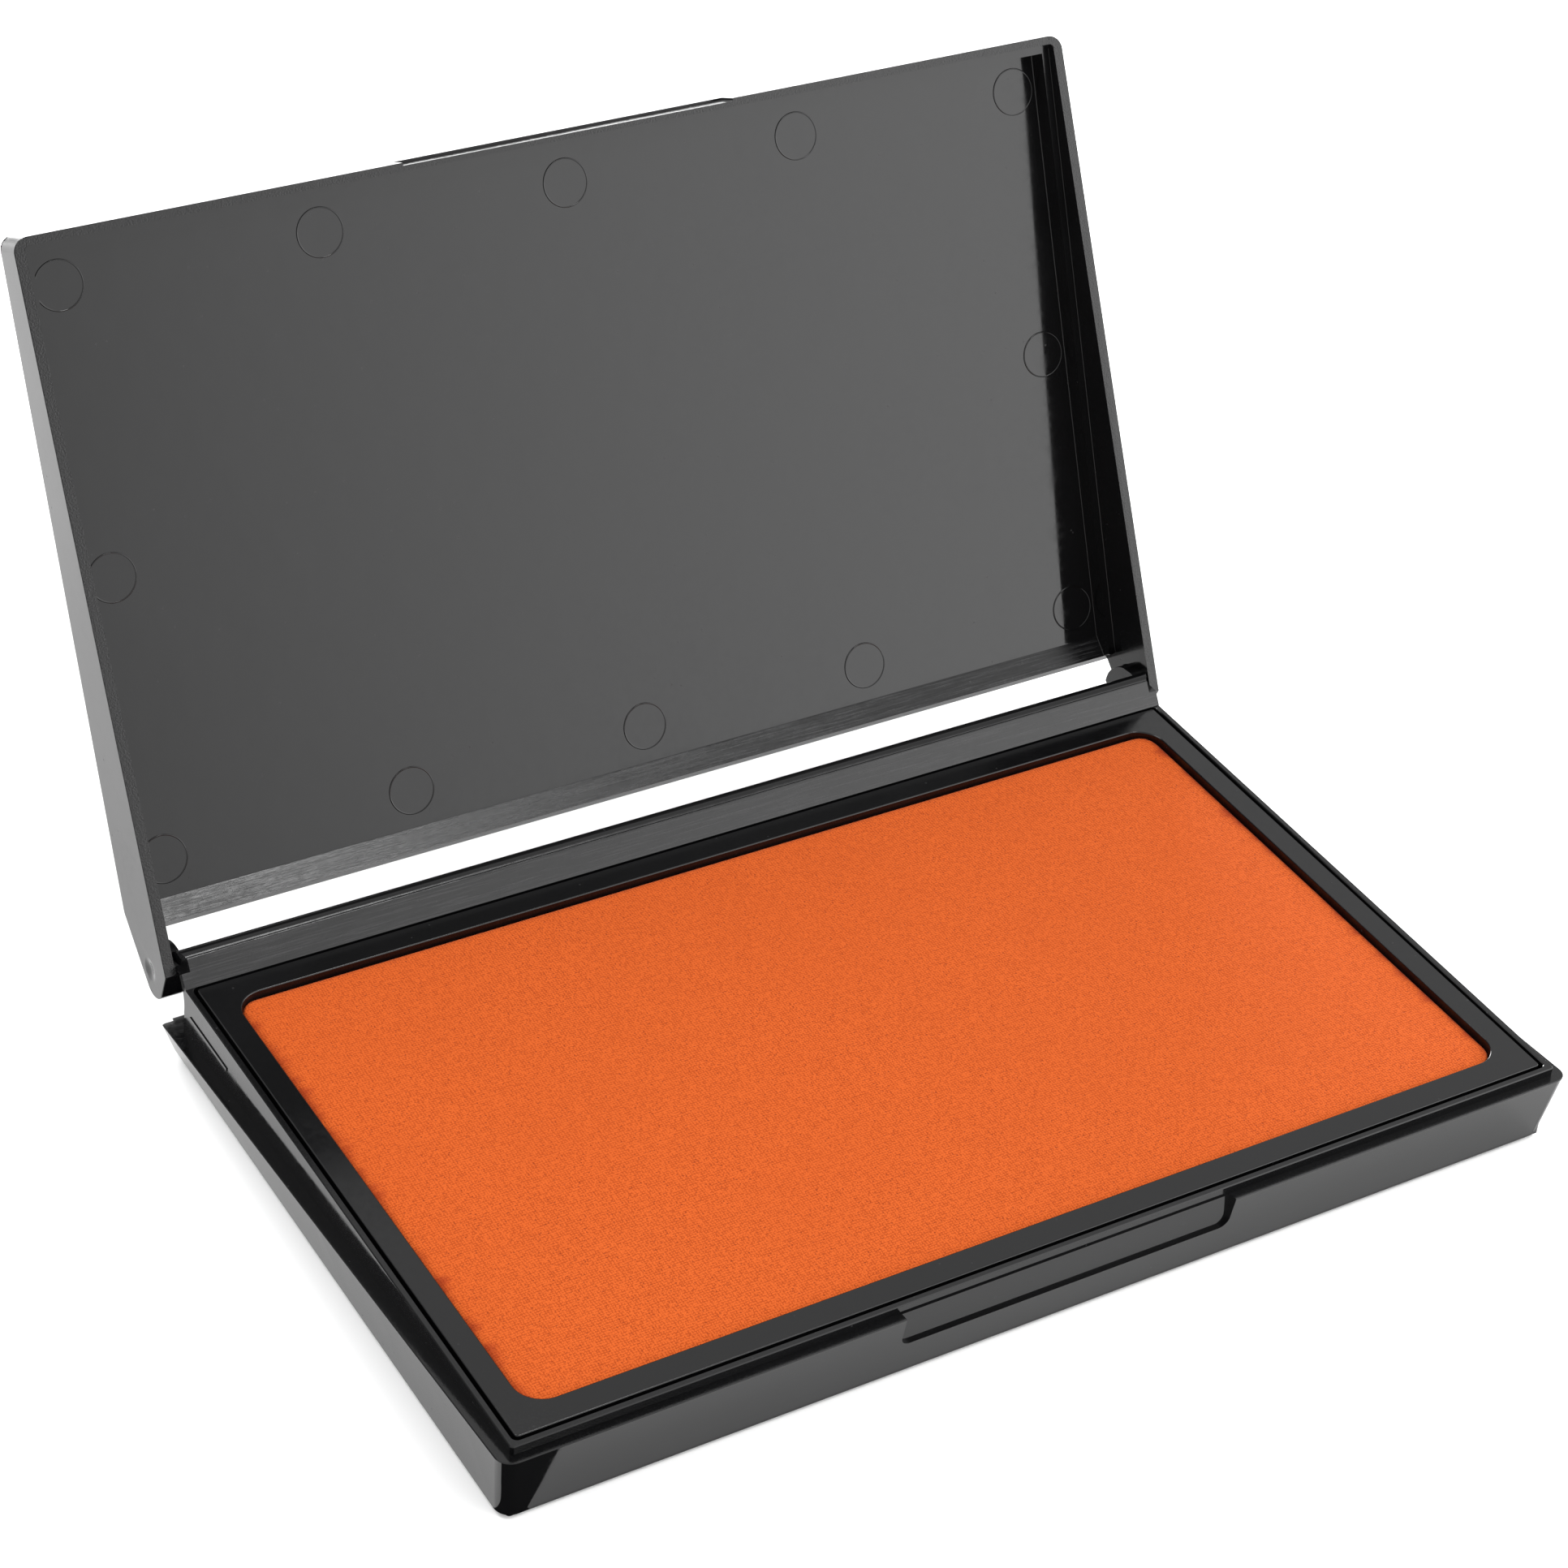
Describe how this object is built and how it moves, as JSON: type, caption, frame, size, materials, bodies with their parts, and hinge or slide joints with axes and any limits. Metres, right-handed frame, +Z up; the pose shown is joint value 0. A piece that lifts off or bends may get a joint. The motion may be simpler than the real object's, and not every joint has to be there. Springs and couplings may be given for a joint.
{
  "type": "ink pad",
  "caption": "Hinged black plastic ink pad case, shown open, with a framed orange cloth stamp pad in a wedge-shaped base and a hollow lid that shuts over it.",
  "frame": {"origin": "centre of the flat underside of the base, which rests on the table", "axes": "+X to the right along the pad's long side, +Y to the rear towards the hinge, +Z up out of the pad; the finger recess faces -Y"},
  "size_m": [0.1744, 0.1589, 0.1084],
  "materials": {
    "case_plastic": "smooth glossy black moulding with fine-textured edge faces",
    "frame_plastic": "satin black moulding",
    "inked_cloth": "finely woven cloth, evenly inked orange",
    "inked_felt": "dense felt soaked with orange ink",
    "ink_foam": "open-cell foam holding ink",
    "backing_card": "plain grey board"
  },
  "bodies": {
    "base": {"base_tray": "case_plastic", "pad_frame": "frame_plastic", "pad_cloth": "inked_cloth", "felt_pad": "inked_felt", "ink_reservoir": "ink_foam", "backing_board": "backing_card"},
    "lid": {"lid": "case_plastic"}
  },
  "joints": [
    {"name": "lid_hinge", "type": "hinge", "parent": "base", "child": "lid", "pos_m": [0, 0.0552, 0.0101], "axis": [1, 0, 0], "range_deg": [0, 113.4]}
  ]
}
